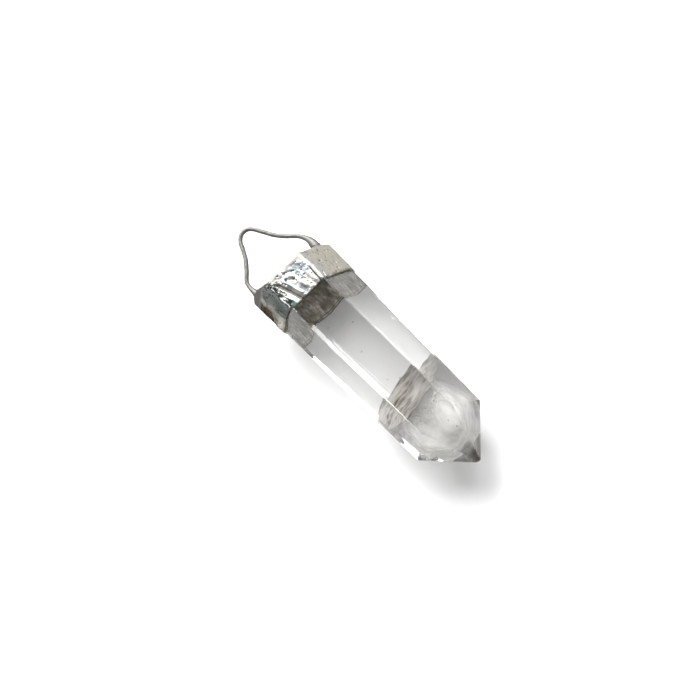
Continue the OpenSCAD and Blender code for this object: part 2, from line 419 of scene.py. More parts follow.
def fresh_normals(obj):
    bm = bmesh.new()
    bm.from_mesh(obj.data)
    bmesh.ops.recalc_face_normals(bm, faces=bm.faces)
    bm.to_mesh(obj.data)
    bm.free()


# Geometry Nodes trees

def new_tree(name, inputs, output):
    """A tree with named inputs and one output."""
    tree = bpy.data.node_groups.new(name, "GeometryNodeTree")
    tree.is_modifier = True
    for socket, kind in inputs:
        tree.interface.new_socket(socket, in_out="INPUT", socket_type="NodeSocket" + kind)
    tree.interface.new_socket(output, in_out="OUTPUT", socket_type="NodeSocketGeometry")
    return tree, tree.nodes, tree.links.new


def end_tree(n, link, geometry, material):
    """Makes a tree's instances real and gives them their material."""
    real = n.new("GeometryNodeRealizeInstances")
    finish = n.new("GeometryNodeSetMaterial")
    end = n.new("NodeGroupOutput")
    link(geometry, real.inputs["Geometry"])
    link(real.outputs["Geometry"], finish.inputs["Geometry"])
    link(material, finish.inputs["Material"])
    link(finish.outputs["Geometry"], end.inputs[0])


def run_tree(obj, tree, **values):
    """Grows an object by a tree, with the inputs that are named, into a plain mesh."""
    modifier = obj.modifiers.new("Grow", "NODES")
    modifier.node_group = tree
    for item in tree.interface.items_tree:
        if item.item_type == "SOCKET" and item.in_out == "INPUT" and item.name in values:
            modifier[item.identifier] = values[item.name]
    bake(obj)


def wire_tree():
    """Sweeps a round wire along a route, as thick as each point says."""
    inputs = (("Route", "Geometry"), ("Sides", "Int"), ("Step", "Float"), ("Metal", "Material"))
    tree, n, link = new_tree("wire_along_route", inputs, "Wire")
    start = n.new("NodeGroupInput")
    thick = n.new("GeometryNodeInputNamedAttribute")
    thick.data_type = "FLOAT"
    thick.inputs["Name"].default_value = "thick"
    curve = n.new("GeometryNodeMeshToCurve")
    again = n.new("GeometryNodeResampleCurve")
    again.mode = "LENGTH"
    circle = n.new("GeometryNodeCurvePrimitiveCircle")
    circle.inputs["Radius"].default_value = 1.0
    sweep = n.new("GeometryNodeCurveToMesh")
    sweep.inputs["Fill Caps"].default_value = True
    link(start.outputs["Route"], curve.inputs["Mesh"])
    link(curve.outputs["Curve"], again.inputs["Curve"])
    link(start.outputs["Step"], again.inputs["Length"])
    link(start.outputs["Sides"], circle.inputs["Resolution"])
    link(again.outputs["Curve"], sweep.inputs["Curve"])
    link(circle.outputs["Curve"], sweep.inputs["Profile Curve"])
    link(thick.outputs["Attribute"], sweep.inputs["Scale"])
    end_tree(n, link, sweep.outputs["Mesh"], start.outputs["Metal"])
    return tree


def crumb_tree(name, scattered):
    """Puts flakes on a guide, tilted and sized at random: scattered over its faces, or one on each point."""
    inputs = (
        ("Guide", "Geometry"), ("Density", "Float"), ("Smallest", "Float"), ("Largest", "Float"),
        ("Thickness", "Float"), ("Seed", "Int"), ("Finish", "Material"),
    )
    tree, n, link = new_tree(name, inputs, "Flakes")
    start = n.new("NodeGroupInput")
    points = n.new("GeometryNodeDistributePointsOnFaces" if scattered else "GeometryNodeMeshToPoints")
    flake = n.new("GeometryNodeMeshIcoSphere")
    flake.inputs["Subdivisions"].default_value = 1
    flake.inputs["Radius"].default_value = 1.0
    # A random value's sockets share their names: a vector has inputs 0 and 1 and
    # output 0, and a number has inputs 2 and 3 and output 1
    size = n.new("FunctionNodeRandomValue")
    size.data_type = "FLOAT"
    tilt = n.new("FunctionNodeRandomValue")
    tilt.data_type = "FLOAT_VECTOR"
    tilt.inputs[0].default_value = (0, 0, 0)
    tilt.inputs[1].default_value = (1.2, 1.2, 6.28)
    shape = n.new("ShaderNodeCombineXYZ")
    flat = n.new("ShaderNodeMath")
    flat.operation = "MULTIPLY"
    slim = n.new("ShaderNodeMath")
    slim.operation = "MULTIPLY"
    slim.inputs[1].default_value = 0.6
    place = n.new("GeometryNodeInstanceOnPoints")
    link(start.outputs["Guide"], points.inputs["Mesh"])
    if scattered:
        link(start.outputs["Density"], points.inputs["Density"])
        link(start.outputs["Seed"], points.inputs["Seed"])
    link(start.outputs["Seed"], size.inputs["Seed"])
    link(start.outputs["Seed"], tilt.inputs["Seed"])
    link(start.outputs["Smallest"], size.inputs[2])
    link(start.outputs["Largest"], size.inputs[3])
    link(size.outputs[1], shape.inputs["X"])
    link(size.outputs[1], slim.inputs[0])
    link(slim.outputs[0], shape.inputs["Y"])
    link(size.outputs[1], flat.inputs[0])
    link(start.outputs["Thickness"], flat.inputs[1])
    link(flat.outputs[0], shape.inputs["Z"])
    link(points.outputs["Points"], place.inputs["Points"])
    link(flake.outputs["Mesh"], place.inputs["Instance"])
    link(tilt.outputs[0], place.inputs["Rotation"])
    link(shape.outputs[0], place.inputs["Scale"])
    end_tree(n, link, place.outputs["Instances"], start.outputs["Finish"])
    return tree


# Cap and bail

def cap_body():
    """The cap's skin as a closed body, before the crystal's room is cut out."""
    azimuth = np.arange(0, 360, 1.5)
    climb = EAR_H * by_azimuth(EARS, azimuth)
    far = rim_x(azimuth)
    rings = []
    for size in (0.25, 0.55, 0.8):
        rings.append(ring(END_X - climb * EAR_BLEND * size, size * skin_r(azimuth, END_X), azimuth))
    for bend in np.radians(np.linspace(0, 90, 6)):
        start = END_X - climb + CAP_ROUND * (1 - math.cos(bend))
        rings.append(ring(start, skin_r(azimuth, start) - CAP_ROUND * (1 - math.sin(bend)), azimuth))
    for run in np.linspace(0, 1, 41)[1:]:
        x = start + (far - start) * run
        rings.append(ring(x, skin_r(azimuth, x), azimuth))
    for past, inward in RIM_LIP:
        rings.append(ring(far + past, skin_r(azimuth, far) - inward, azimuth))
    rings.append(ring(far * 0.5 + 0.6, skin_r(azimuth, far) * 0.6, azimuth))
    return loft(rings)


def bail_route():
    """The bail's middle line and radius, with smooth stretches between the rows."""
    rows = np.array([
        (END_X - up * BAIL_RISE, across * CAP_CORNER_R, thick * WIRE_D / 2)
        for up, across, thick in BAIL
    ])
    rows = np.concatenate([rows[:1], rows, rows[-1:]])
    points = []
    for a, b, c, d in zip(rows, rows[1:], rows[2:], rows[3:]):
        for t in np.linspace(0, 1, 6)[:-1]:
            bend = (2 * a - 5 * b + 4 * c - d) + t * (3 * b - a - 3 * c + d)
            points.append(b + t * ((c - a) + t * bend) / 2)
    points.append(rows[-2])
    return np.array(points)


def bail_wire(metal):
    route = bail_route()
    mesh = bpy.data.meshes.new("bail_wire")
    verts = [(x, y, 0.0) for x, y, _ in route]
    mesh.from_pydata(verts, [(i, i + 1) for i in range(len(verts) - 1)], [])
    give_values(mesh, "thick", route[:, 2])
    obj = link_object("bail_wire", mesh)
    run_tree(obj, wire_tree(), Sides=WIRE_SIDES, Step=WIRE_STEP, Metal=metal)
    return obj


def room_for_crystal():
    """The covered end of the crystal, grown by the lining's gap, and on past the rim."""
    past_rim, steps = 7, 26
    rings = []
    for x in np.concatenate([[-COVERED_LEN - HOLLOW_GAP], np.linspace(BUTT_X, past_rim, 46)]):
        azimuth = []
        for index, side in enumerate(SIDES):
            start = corner_azimuth(SIDES[index - 1], side, x)
            stop = corner_azimuth(side, SIDES[(index + 1) % len(SIDES)], x)
            stop = start + (stop - start) % 360
            azimuth += [start + (stop - start) * step / steps for step in range(steps)]
        azimuth = np.array(azimuth)
        rings.append(ring(x, hollow_r(azimuth, x), azimuth))
    room = new_object("room_for_crystal", *loft(rings))
    fresh_normals(room)
    return room


def cap_place(points):
    """Azimuth, distance from the axis, and share of the cap's length from its end."""
    azimuth = np.degrees(np.arctan2(points[:, 1], points[:, 2]))
    r = np.hypot(points[:, 1], points[:, 2])
    share = (points[:, 0] - END_X) / (rim_x(azimuth) - END_X)
    return azimuth, r, share


def creased(azimuth, r, share):
    """How far the creases are pressed in, in millimetres."""
    depth = np.zeros(len(azimuth))
    for at_end, at_rim, begins, ends, deep, wide in CREASES:
        middle = at_end + (at_rim - at_end) * share
        off = np.radians(turn(azimuth, middle)) * r / wide
        depth += deep * np.exp(-2 * off * off) * between(share, begins, CREASE_END, ends, CREASE_END)
    return depth


def pitted(azimuth, r, share):
    """How deep the pits are, in millimetres, and how much painted shade darkens them."""
    depth = np.zeros(len(azimuth))
    dark = np.zeros(len(azimuth))
    length = RIM_FRONT - END_X
    for at, along, wide, deep in PITS:
        away = np.hypot(np.radians(turn(azimuth, at)) * r, (share - along) * length) / wide
        depth += deep * np.exp(-away ** 2)
        # Painted shade over each pit
        dark = np.maximum(dark, np.exp(-(away / 0.8) ** 2))
    return depth, dark


def off_axis(points):
    """1 on the cap's sides, down to 0 at the middle of its end, where all azimuths meet."""
    return smooth((np.hypot(points[:, 1], points[:, 2]) - 1.5) / 5.0)


def pinholes(points, azimuth, share):
    """Small holes, thick left of the upper side and near the left rim, sparse on the matte side."""
    crowd = 0.16 * between(azimuth, -46, 8, -12, 10) * smooth((0.5 - share) / 0.2)
    crowd += 0.05 * between(azimuth, 30, 8, 105, 12)
    crowd += 0.12 * between(azimuth, -110, 10, -66, 8) * smooth((share - 0.6) / 0.2)
    crowd *= off_axis(points)
    return smooth((grown(points, 0.42, 11.3) - 0.50 + crowd) / 0.12)


def dress_solder(obj):
    """Presses folds, lumps and pits into the remeshed cap and bail."""
    mesh = obj.data
    points = positions(mesh)
    azimuth, r, share = cap_place(points)
    from_end = points[:, 0] - END_X
    on_side = smooth((r - skin_r(azimuth, points[:, 0]) + 0.9) / 0.3) * smooth((from_end + 0.7) / 0.5)
    off_bail = smooth((from_end + 4.2) / 1.5)
    feet = np.exp(-((from_end + 1.8) / 2.2) ** 2) * smooth((np.abs(points[:, 1]) - 4.5) / 1.5)
    matte = between(azimuth, 34, 12, 100, 16)
    upper = smooth((40 - np.abs(azimuth)) / 14)
    pressed = creased(azimuth, r, share) + pitted(azimuth, r, share)[0]
    pressed += PINHOLE_DEPTH * pinholes(points, azimuth, share)
    push = -pressed * on_side
    # Lumps: height, grain size, and where in the noise they are taken from
    for height, size, place in (
        ((0.06 + 0.04 * upper) * off_bail, 2.3, 3.1),
        (0.05 * upper * on_side, 1.15, 6.3),
        ((0.026 + 0.016 * matte) * off_bail, 0.7, 7.7),
        (0.012 * off_bail, 0.32, 1.9),
        (0.035 * (1 - off_bail), 1.3, 5.2),
        (0.03 * (1 - off_bail), 0.55, 9.4),
        (0.10 * feet, 0.9, 4.4),
        (0.05 * feet, 0.42, 8.2),
    ):
        push += height * grown(points, size, place)
    points = points + normals(mesh) * push[:, None]
    azimuth, r, share = cap_place(points)
    least = hollow_r(azimuth, points[:, 0]) + LEAST_WALL
    thin = (points[:, 0] > -COVERED_LEN - 0.3) & (r < least) & (r > 0.75 * least) & (share < 0.97)
    points[:, 1:] *= np.where(thin, least / np.maximum(r, 0.1), 1.0)[:, None]
    set_positions(mesh, points)


def colour_solder(obj):
    """Paints how dull and what colour the metal is, point by point."""
    mesh = obj.data
    points = positions(mesh)
    azimuth, r, share = cap_place(points)
    fine = grown(points, 0.8, 2.5)
    broad = grown(points, 2.6, 6.5)
    ragged = 5 * broad + 3 * fine
    on_cap = smooth((points[:, 0] - END_X + 1.2) / 1.0)
    sided = on_cap * off_axis(points)
    matte = between(azimuth, 33, 8, 104, 14, ragged) * sided
    # Glassy side: smooth metal, darkened as a painted reflection of dark surroundings
    glassy_and_painted_reflection = between(azimuth, -66, 10, -20, 8, ragged) * sided
    # Left side painted brown-dark as a painted reflection of dark surroundings
    brown_painted_reflection = between(azimuth, -125, 20, -58, 18, ragged) * sided
    blue = smooth((broad - 0.02) / 0.16) * between(azimuth, -20, 8, 30, 8) * sided
    back = smooth((np.abs(azimuth) - 108 + ragged) / 14) * sided
    top_strip = smooth((0.15 + 0.03 * fine - share) / 0.05) * smooth((44 - np.abs(azimuth)) / 8) * sided
    lumps = between(azimuth, -104, 8, -64, 6, ragged) * smooth((share + 0.03 * fine - 0.70) / 0.08) * on_cap
    rim_edge = smooth((share - 0.9) / 0.1) * on_cap
    # Painted shade in the creases, darker the deeper they are pressed
    crease_shade = np.clip(creased(azimuth, r, share) / 0.16, 0, 1) ** 1.5 * on_cap
    pit_shade = pitted(azimuth, r, share)[1] * on_cap
    holes = pinholes(points, azimuth, share) * on_cap
    spot = np.exp(-((turn(azimuth, -24) * 0.30) ** 2 + ((share - 0.95) * 16) ** 2))

    tone = np.tile(np.array([0.37, 0.365, 0.345]), (len(points), 1))
    dull = np.full(len(points), 0.37)

    def paint(colour, where, finish):
        nonlocal tone, dull
        cover = np.clip(where, 0, 1)
        tone = tone + (np.array(colour) - tone) * cover[:, None]
        dull = dull + (finish - dull) * cover

    # Bail, bluish patches, matte side, dull strip along the end, glassy side darkened by painted reflection,
    # brown painted reflection, lower side, lumps, painted shade in creases and pits, rim and green spot
    paint((0.17, 0.165, 0.157), 1 - on_cap, 0.52)
    paint((0.25, 0.28, 0.305), blue * 0.8, 0.30)
    paint((0.40, 0.38, 0.335), matte * (0.9 + 0.1 * fine), 0.55)
    paint((0.28, 0.268, 0.243), top_strip * 0.85, 0.55)
    # Painted reflection: the glassy side is darkened to stand for the dark surroundings it mirrors
    paint((0.13, 0.14, 0.135), glassy_and_painted_reflection * (0.88 + 0.25 * broad), 0.13)
    # Painted reflection: brown-dark left side standing for dark surroundings mirrored in the metal
    paint((0.105, 0.092, 0.074), brown_painted_reflection * np.clip(0.75 + 0.9 * broad + 0.6 * fine, 0.35, 1), 0.34)
    paint((0.52, 0.50, 0.465), back * 0.8, 0.36)
    paint((0.50, 0.48, 0.43), lumps, 0.5)
    # Painted shade in the creases
    paint((0.12, 0.11, 0.10), crease_shade * 0.9, 0.5)
    # Painted shade: pits and pinholes painted near black
    paint((0.035, 0.03, 0.028), np.maximum(pit_shade, 0.9 * holes), 0.6)
    paint((0.10, 0.09, 0.08), rim_edge * (0.5 + 0.4 * fine), 0.4)
    paint((0.24, 0.42, 0.36), spot * 0.8, 0.5)

    colours = mesh.color_attributes.new("tone", "FLOAT_COLOR", "POINT")
    flat = np.concatenate([np.clip(tone, 0, 1), np.ones((len(points), 1))], axis=1)
    colours.data.foreach_set("color", flat.astype(np.float32).ravel())
    give_values(mesh, "dull", dull)


def line_hollow(obj):
    """Gives the faces that look into the hollow the lining's finish, and stores a painted shade that darkens
    the lining but for the lower side.
    """
    mesh = obj.data
    points = positions(mesh)
    azimuth, r, _ = cap_place(points)
    x = points[:, 0]
    wall = hollow_r(azimuth, x)
    near = 0.05
    inside = (np.abs(r - wall) < near) & (x > -COVERED_LEN - 0.1)
    inside |= (np.abs(x + COVERED_LEN + HOLLOW_GAP) < 0.06) & (r < wall + near)
    for face in mesh.polygons:
        if all(inside[v] for v in face.vertices):
            face.material_index = 1
    # Painted shade: the lining is darkened to half but on its lower side
    give_values(mesh, "unshaded_share", 0.5 + 0.5 * smooth((np.abs(azimuth) - 146) / 6))


def cap_with_bail(metal, lining):
    """Cap and bail flowed into one body, dressed, hollowed, lined and coloured."""
    obj = new_object("dressed_cap_with_bail", *cap_body())
    fresh_normals(obj)
    wire = bail_wire(metal)
    bm = bmesh.new()
    bm.from_mesh(obj.data)
    bm.from_mesh(wire.data)
    bm.to_mesh(obj.data)
    bm.free()
    bpy.data.objects.remove(wire)
    skin = obj.modifiers.new("Flow", "REMESH")
    skin.mode = "VOXEL"
    skin.voxel_size = GRAIN
    soften = obj.modifiers.new("Soften", "SMOOTH")
    soften.factor = 0.5
    soften.iterations = 4
    bake(obj)
    dress_solder(obj)
    cut_out(obj, room_for_crystal())
    obj.data.materials.clear()
    obj.data.materials.append(metal)
    obj.data.materials.append(lining)
    line_hollow(obj)
    colour_solder(obj)
    set_positions(obj.data, lay_down(positions(obj.data)))
    shade_smooth(obj.data, 50)
    return obj


# Crystal

def shave(bm, azimuth, edge, at_rim, at_shoulder):
    """Takes a long edge off the crystal as a narrow facet."""
    one, other = sorted(SIDES, key=lambda side: abs(turn(side[0], edge)))[:2]
    near = edge_reach(one, other, azimuth, 0) - at_rim
    far = edge_reach(one, other, azimuth, PRISM_LEN) - at_shoulder
    a = math.radians(azimuth)
    out = np.array([(near - far) / PRISM_LEN, math.sin(a), math.cos(a)])
    start = np.array([0, near * math.sin(a), near * math.cos(a)])
    place = lay_down([start, start + out])
    cut = bmesh.ops.bisect_plane(
        bm, geom=bm.verts[:] + bm.edges[:] + bm.faces[:], dist=1e-9, clear_outer=True,
        plane_co=Vector(place[0]), plane_no=Vector(place[1] - place[0]).normalized(),
    )
    bmesh.ops.edgeloop_fill(bm, edges=[e for e in cut["geom_cut"] if isinstance(e, bmesh.types.BMEdge)])


def worn_strip():
    """What is worn off the crystal's upper left edge, outside the cap."""
    past_shoulder, half, tall = 0.5, 2, 2
    a = math.radians(WORN_AZIMUTH)
    out = np.array([0, math.sin(a), math.cos(a)])
    along = np.array([0, math.cos(a), -math.sin(a)])
    verts = []
    # Place along the axis, how much is gone there, and how far the end leans
    for x, gone, lean in ((WORN_FROM, WORN_GONE[0], -3.0), (PRISM_LEN + past_shoulder, WORN_GONE[1], 0.0)):
        r = edge_reach(SIDES[5], SIDES[0], WORN_AZIMUTH, x) - gone
        for side in (-half, half):
            verts.append(np.array([x, 0, 0]) + r * out + side * along)
            verts.append(np.array([x + lean * tall, 0, 0]) + (r + tall) * out + side * along)
    faces = [(0, 1, 3, 2), (4, 6, 7, 5), (0, 2, 6, 4), (1, 5, 7, 3), (0, 4, 5, 1), (2, 3, 7, 6)]
    strip = new_object("worn_strip", lay_down(verts), faces)
    fresh_normals(strip)
    return strip


def crystal(quartz):
    """The frame's crystal with three long edges worn and every edge rounded."""
    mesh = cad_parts["crystal"].data.copy()
    mesh.name = "clear_crystal"
    obj = link_object("clear_crystal", mesh)
    bm = bmesh.new()
    bm.from_mesh(mesh)
    bmesh.ops.remove_doubles(bm, verts=bm.verts, dist=1e-3 * MM)
    bmesh.ops.dissolve_limit(bm, angle_limit=math.radians(0.5), verts=bm.verts, edges=bm.edges)
    for row in SHAVED_EDGES:
        shave(bm, *row)
    bm.to_mesh(mesh)
    bm.free()
    cut_out(obj, worn_strip())
    mesh = obj.data
    bm = bmesh.new()
    bm.from_mesh(mesh)
    bmesh.ops.dissolve_limit(bm, angle_limit=math.radians(0.2), verts=bm.verts, edges=bm.edges)
    bmesh.ops.recalc_face_normals(bm, faces=bm.faces)
    bmesh.ops.bevel(
        bm, geom=list(bm.edges), offset=EDGE_ROUND * MM, segments=2, profile=0.6,
        affect="EDGES", clamp_overlap=True,
    )
    for face in bm.faces:
        face.smooth = False
    bm.to_mesh(mesh)
    bm.free()
    mesh.materials.clear()
    mesh.materials.append(quartz)
    return obj


# What lies inside the crystal

def thin_body(name, layer, rise, material, fades):
    """Closes a layer of rings into a thin body. Its fade runs from 0 at the border to 1 inside."""
    half = np.array(rise) / np.linalg.norm(rise) * VEIL_T / 2
    front = [points - half for points in layer]
    back = [points + half for points in reversed(layer)]
    obj = new_object(name, *loft(front + back))
    give_values(obj.data, "fade", np.concatenate([[1], *fades, *fades[::-1], [1]]))
    fresh_normals(obj)
    set_positions(obj.data, lay_down(positions(obj.data)))
    obj.data.materials.append(material)
    shade_smooth(obj.data)
    return obj


def streaked_veil(material):
    """The streaked veil that crosses the whole crystal near its point."""
    azimuth = np.arange(0, 360, 2.5)
    rad = np.radians(azimuth)
    layer, fades = [], []
    for size in np.linspace(0.03, 1, 34):
        x = np.full(len(rad), VEIL_X)
        # The crystal's width depends on x and the veil's x on its width, so they settle in rounds
        for _ in range(8):
            r = size * inside_r(azimuth, x, 0.12)
            y, z = r * np.sin(rad), r * np.cos(rad)
            ruffle = grown(np.stack([0 * y, y, z], axis=1), 3.4, 2.2) * 0.5
            ruffle += grown(np.stack([0 * y, 0.6 * y, 1.6 * z], axis=1), 1.1, 6.1) * 0.12
            x = VEIL_X - VEIL_LEAN * (SHOULDER_R - z) - VEIL_SWEEP * y + ruffle
        layer.append(ring(x, r, azimuth))
        fades.append(np.full(len(rad), min(1.0, (1 - size) * 12)))
    return thin_body("streaked_veil", layer, (1, VEIL_SWEEP, -VEIL_LEAN), material, fades)


def veil(name, middle, along, across, bulge, material):
    """A soft-edged veil, oval and bulged, that fades towards its border and the crystal's skin."""
    middle, along, across = (np.array(v, float) for v in (middle, along, across))
    rise = np.cross(along, across)
    rise /= np.linalg.norm(rise)
    t = np.radians(np.arange(0, 360, 4))
    wave = 1 + 0.16 * np.sin(2 * t + middle[0]) + 0.09 * np.sin(5 * t + middle[1])
    layer, fades = [], []
    for size in np.linspace(0.03, 1, 56):
        edge = size * wave
        points = middle + np.outer(edge * np.cos(t), along) + np.outer(edge * np.sin(t), across)
        points = points + bulge * (1 - size * size) * rise
        azimuth = np.degrees(np.arctan2(points[:, 1], points[:, 2]))
        r = np.hypot(points[:, 1], points[:, 2])
        room = inside_r(azimuth, points[:, 0], 0.15 + 0.1 * (1 - size)) / np.maximum(r, 1e-6)
        points[:, 1:] *= np.minimum(1, room)[:, None]
        layer.append(points)
        fades.append(smooth((1 - size) / 0.6) * smooth((room - 1.0) / 0.4))
    return thin_body(name, layer, rise, material, fades)


def oval_guide(middle, along, across):
    """Vertices and faces of an oval sheet."""
    middle, along, across = (np.array(v, float) for v in (middle, along, across))
    t = np.radians(np.arange(0, 360, 20))
    sizes = (0.3, 0.65, 1)
    rings = [
        middle + np.outer(size * np.cos(t), along) + np.outer(size * np.sin(t), across)
        for size in sizes
    ]
    verts = np.concatenate([[middle], *rings])
    count = len(t)
    faces = [(0, 1 + i, 1 + (i + 1) % count) for i in range(count)]
    for k in range(len(sizes) - 1):
        a, b = 1 + k * count, 1 + (k + 1) * count
        faces += [(a + i, b + i, b + (i + 1) % count, a + (i + 1) % count) for i in range(count)]
    return verts, faces


def crumbs(name, tree, guide, **inputs):
    """Flakes or specks on a guide, kept inside the crystal."""
    obj = new_object(name, *guide)
    run_tree(obj, tree, **inputs)
    points = positions(obj.data)
    azimuth = np.degrees(np.arctan2(points[:, 1], points[:, 2]))
    r = np.hypot(points[:, 1], points[:, 2])
    keep = np.minimum(1, inside_r(azimuth, points[:, 0], 0.12) / np.maximum(r, 1e-6))
    points[:, 1:] *= keep[:, None]
    set_positions(obj.data, lay_down(points))
    return obj


# Materials

def new_material(name):
    material = bpy.data.materials.new(name)
    material.use_nodes = True
    nodes = material.node_tree.nodes
    return material, nodes, material.node_tree.links.new, nodes["Principled BSDF"]


def noise_node(nodes, link, vector, scale, detail, rough):
    node = nodes.new("ShaderNodeTexNoise")
    node.inputs["Scale"].default_value = scale
    node.inputs["Detail"].default_value = detail
    node.inputs["Roughness"].default_value = rough
    link(vector, node.inputs["Vector"])
    return node.outputs["Fac"]


def ramp_node(nodes, link, value, stops):
    """Colours by value. A stop is a place and a colour, or a place and one grey."""
    node = nodes.new("ShaderNodeValToRGB")
    link(value, node.inputs["Fac"])
    elements = node.color_ramp.elements
    while len(elements) < len(stops):
        elements.new(0.5)
    for element, (at, colour) in zip(elements, stops):
        element.position = at
        element.color = (*colour, 1) if len(colour) == 3 else (colour[0],) * 3 + (1,)
    return node.outputs["Color"]


def bump_node(nodes, link, height, distance, strength):
    node = nodes.new("ShaderNodeBump")
    node.inputs["Strength"].default_value = strength
    node.inputs["Distance"].default_value = distance
    link(height, node.inputs["Height"])
    return node.outputs["Normal"]


def math_node(nodes, link, operation, a, b):
    node = nodes.new("ShaderNodeMath")
    node.operation = operation
    for socket, value in zip(node.inputs, (a, b)):
        if isinstance(value, (int, float)):
            socket.default_value = value
        else:
            link(value, socket)
    return node.outputs["Value"]


def darkened(nodes, link, colour, share):
    """A colour scaled by a share that changes over the surface."""
    node = nodes.new("ShaderNodeVectorMath")
    node.operation = "SCALE"
    link(colour, node.inputs[0])
    link(share, node.inputs["Scale"])
    return node.outputs["Vector"]


def stored(nodes, name):
    """The outputs that read what a mesh stores at its points."""
    node = nodes.new("ShaderNodeAttribute")
    node.attribute_name = name
    return node.outputs


def object_place(nodes, link, stretch=(1, 1, 1)):
    place = nodes.new("ShaderNodeTexCoord")
    mapping = nodes.new("ShaderNodeMapping")
    mapping.inputs["Scale"].default_value = stretch
    link(place.outputs["Object"], mapping.inputs["Vector"])
    return mapping.outputs["Vector"]


def clear_quartz():
    """Clear, with faint growth lines across the crystal."""
    material, nodes, link, shader = new_material("clear_quartz")
    shader.inputs["Base Color"].default_value = (0.995, 0.992, 0.985, 1)
    shader.inputs["Transmission Weight"].default_value = 1.0
    shader.inputs["IOR"].default_value = 1.544
    shader.inputs["Roughness"].default_value = 0.0
    growth = noise_node(nodes, link, object_place(nodes, link, (1, 0.15, 0.15)), 900, 3, 0.6)
    link(bump_node(nodes, link, growth, 0.01 * MM, 0.15), shader.inputs["Normal"])
    return material


def streaks():
    """The streaked veil: grey, darker to the right, with long brown-black streaks across the crystal."""
    material, nodes, link, shader = new_material("grey_streaks")
    shader.inputs["Roughness"].default_value = 0.7
    wave = noise_node(nodes, link, object_place(nodes, link, (1, 0.35, 1)), 620, 7, 0.75)
    fine = noise_node(nodes, link, object_place(nodes, link, (1, 0.22, 1)), 1700, 4, 0.6)
    crowd = noise_node(nodes, link, object_place(nodes, link), 190, 2, 0.5)
    crowd = math_node(nodes, link, "SUBTRACT", crowd, 0.5)
    streak = math_node(nodes, link, "ADD", wave, math_node(nodes, link, "MULTIPLY", fine, 0.8))
    streak = math_node(nodes, link, "ADD", streak, math_node(nodes, link, "MULTIPLY", crowd, 0.6))
    colour = ramp_node(nodes, link, streak, (
        (0.66, (0.045, 0.037, 0.031)),
        (0.76, (0.19, 0.166, 0.142)),
        (0.86, (0.42, 0.39, 0.35)),
        (1.0, (0.68, 0.65, 0.605)),
    ))
    place = nodes.new("ShaderNodeSeparateXYZ")
    link(object_place(nodes, link), place.inputs["Vector"])
    across = math_node(nodes, link, "MULTIPLY", place.outputs["Y"], 60)
    across = math_node(nodes, link, "ADD", across, 0.5)
    shade = ramp_node(nodes, link, across, ((0.15, (1.0,)), (0.85, (0.55,))))
    link(darkened(nodes, link, colour, shade), shader.inputs["Base Color"])
    cover = ramp_node(nodes, link, streak, ((0.70, (1.0,)), (1.0, (0.75,))))
    cover = math_node(nodes, link, "MULTIPLY", stored(nodes, "fade")["Fac"], cover)
    link(cover, shader.inputs["Alpha"])
    return material


def milk(name, cover, scale):
    """Milky veils: white and thin, denser in clouds."""
    material, nodes, link, shader = new_material(name)
    shader.inputs["Base Color"].default_value = (0.98, 0.972, 0.955, 1)
    shader.inputs["Roughness"].default_value = 0.55
    cloud = noise_node(nodes, link, object_place(nodes, link), scale, 3, 0.5)
    thick = ramp_node(nodes, link, cloud, ((0.30, (0.62,)), (0.66, (1.0,))))
    soft = math_node(nodes, link, "MULTIPLY", stored(nodes, "fade")["Fac"], cover)
    link(math_node(nodes, link, "MULTIPLY", thick, soft), shader.inputs["Alpha"])
    return material


def flake_finish():
    """White and shiny, part clear."""
    material, nodes, link, shader = new_material("bright_flakes")
    shader.inputs["Base Color"].default_value = (0.95, 0.945, 0.93, 1)
    shader.inputs["Roughness"].default_value = 0.2
    cloud = noise_node(nodes, link, object_place(nodes, link), 1400, 2, 0.5)
    link(ramp_node(nodes, link, cloud, ((0.35, (0.25,)), (0.7, (0.85,)))), shader.inputs["Alpha"])
    return material


def speck_finish():
    """Brown-black crumbs."""
    material, nodes, link, shader = new_material("dark_specks")
    shader.inputs["Roughness"].default_value = 0.6
    cloud = noise_node(nodes, link, object_place(nodes, link), 3000, 2, 0.5)
    colour = ramp_node(nodes, link, cloud, ((0.3, (0.03, 0.027, 0.024)), (0.7, (0.16, 0.14, 0.12))))
    link(colour, shader.inputs["Base Color"])
    return material


def solder():
    """Solder with the tone and dullness stored on its mesh, clouded and finely grained."""
    material, nodes, link, shader = new_material("tin_solder")
    shader.inputs["Metallic"].default_value = 1.0
    place = object_place(nodes, link)
    cloud = noise_node(nodes, link, place, 2600, 5, 0.65)
    speck = noise_node(nodes, link, place, 9000, 3, 0.6)
    shade = ramp_node(nodes, link, cloud, ((0.3, (0.72,)), (0.62, (1.0,))))
    mix = nodes.new("ShaderNodeMix")
    mix.data_type = "RGBA"
    mix.blend_type = "MULTIPLY"
    mix.inputs["Factor"].default_value = 0.55
    link(stored(nodes, "tone")["Color"], mix.inputs["A"])
    link(shade, mix.inputs["B"])
    link(mix.outputs["Result"], shader.inputs["Base Color"])
    link(mix.outputs["Result"], shader.inputs["Specular Tint"])
    grain = math_node(nodes, link, "MULTIPLY", math_node(nodes, link, "SUBTRACT", cloud, 0.5), 0.3)
    dull = math_node(nodes, link, "ADD", stored(nodes, "dull")["Fac"], grain)
    link(dull, shader.inputs["Roughness"])
    height = math_node(nodes, link, "ADD", cloud, math_node(nodes, link, "MULTIPLY", speck, 0.35))
    link(bump_node(nodes, link, height, 0.05 * MM, 0.5), shader.inputs["Normal"])
    return material


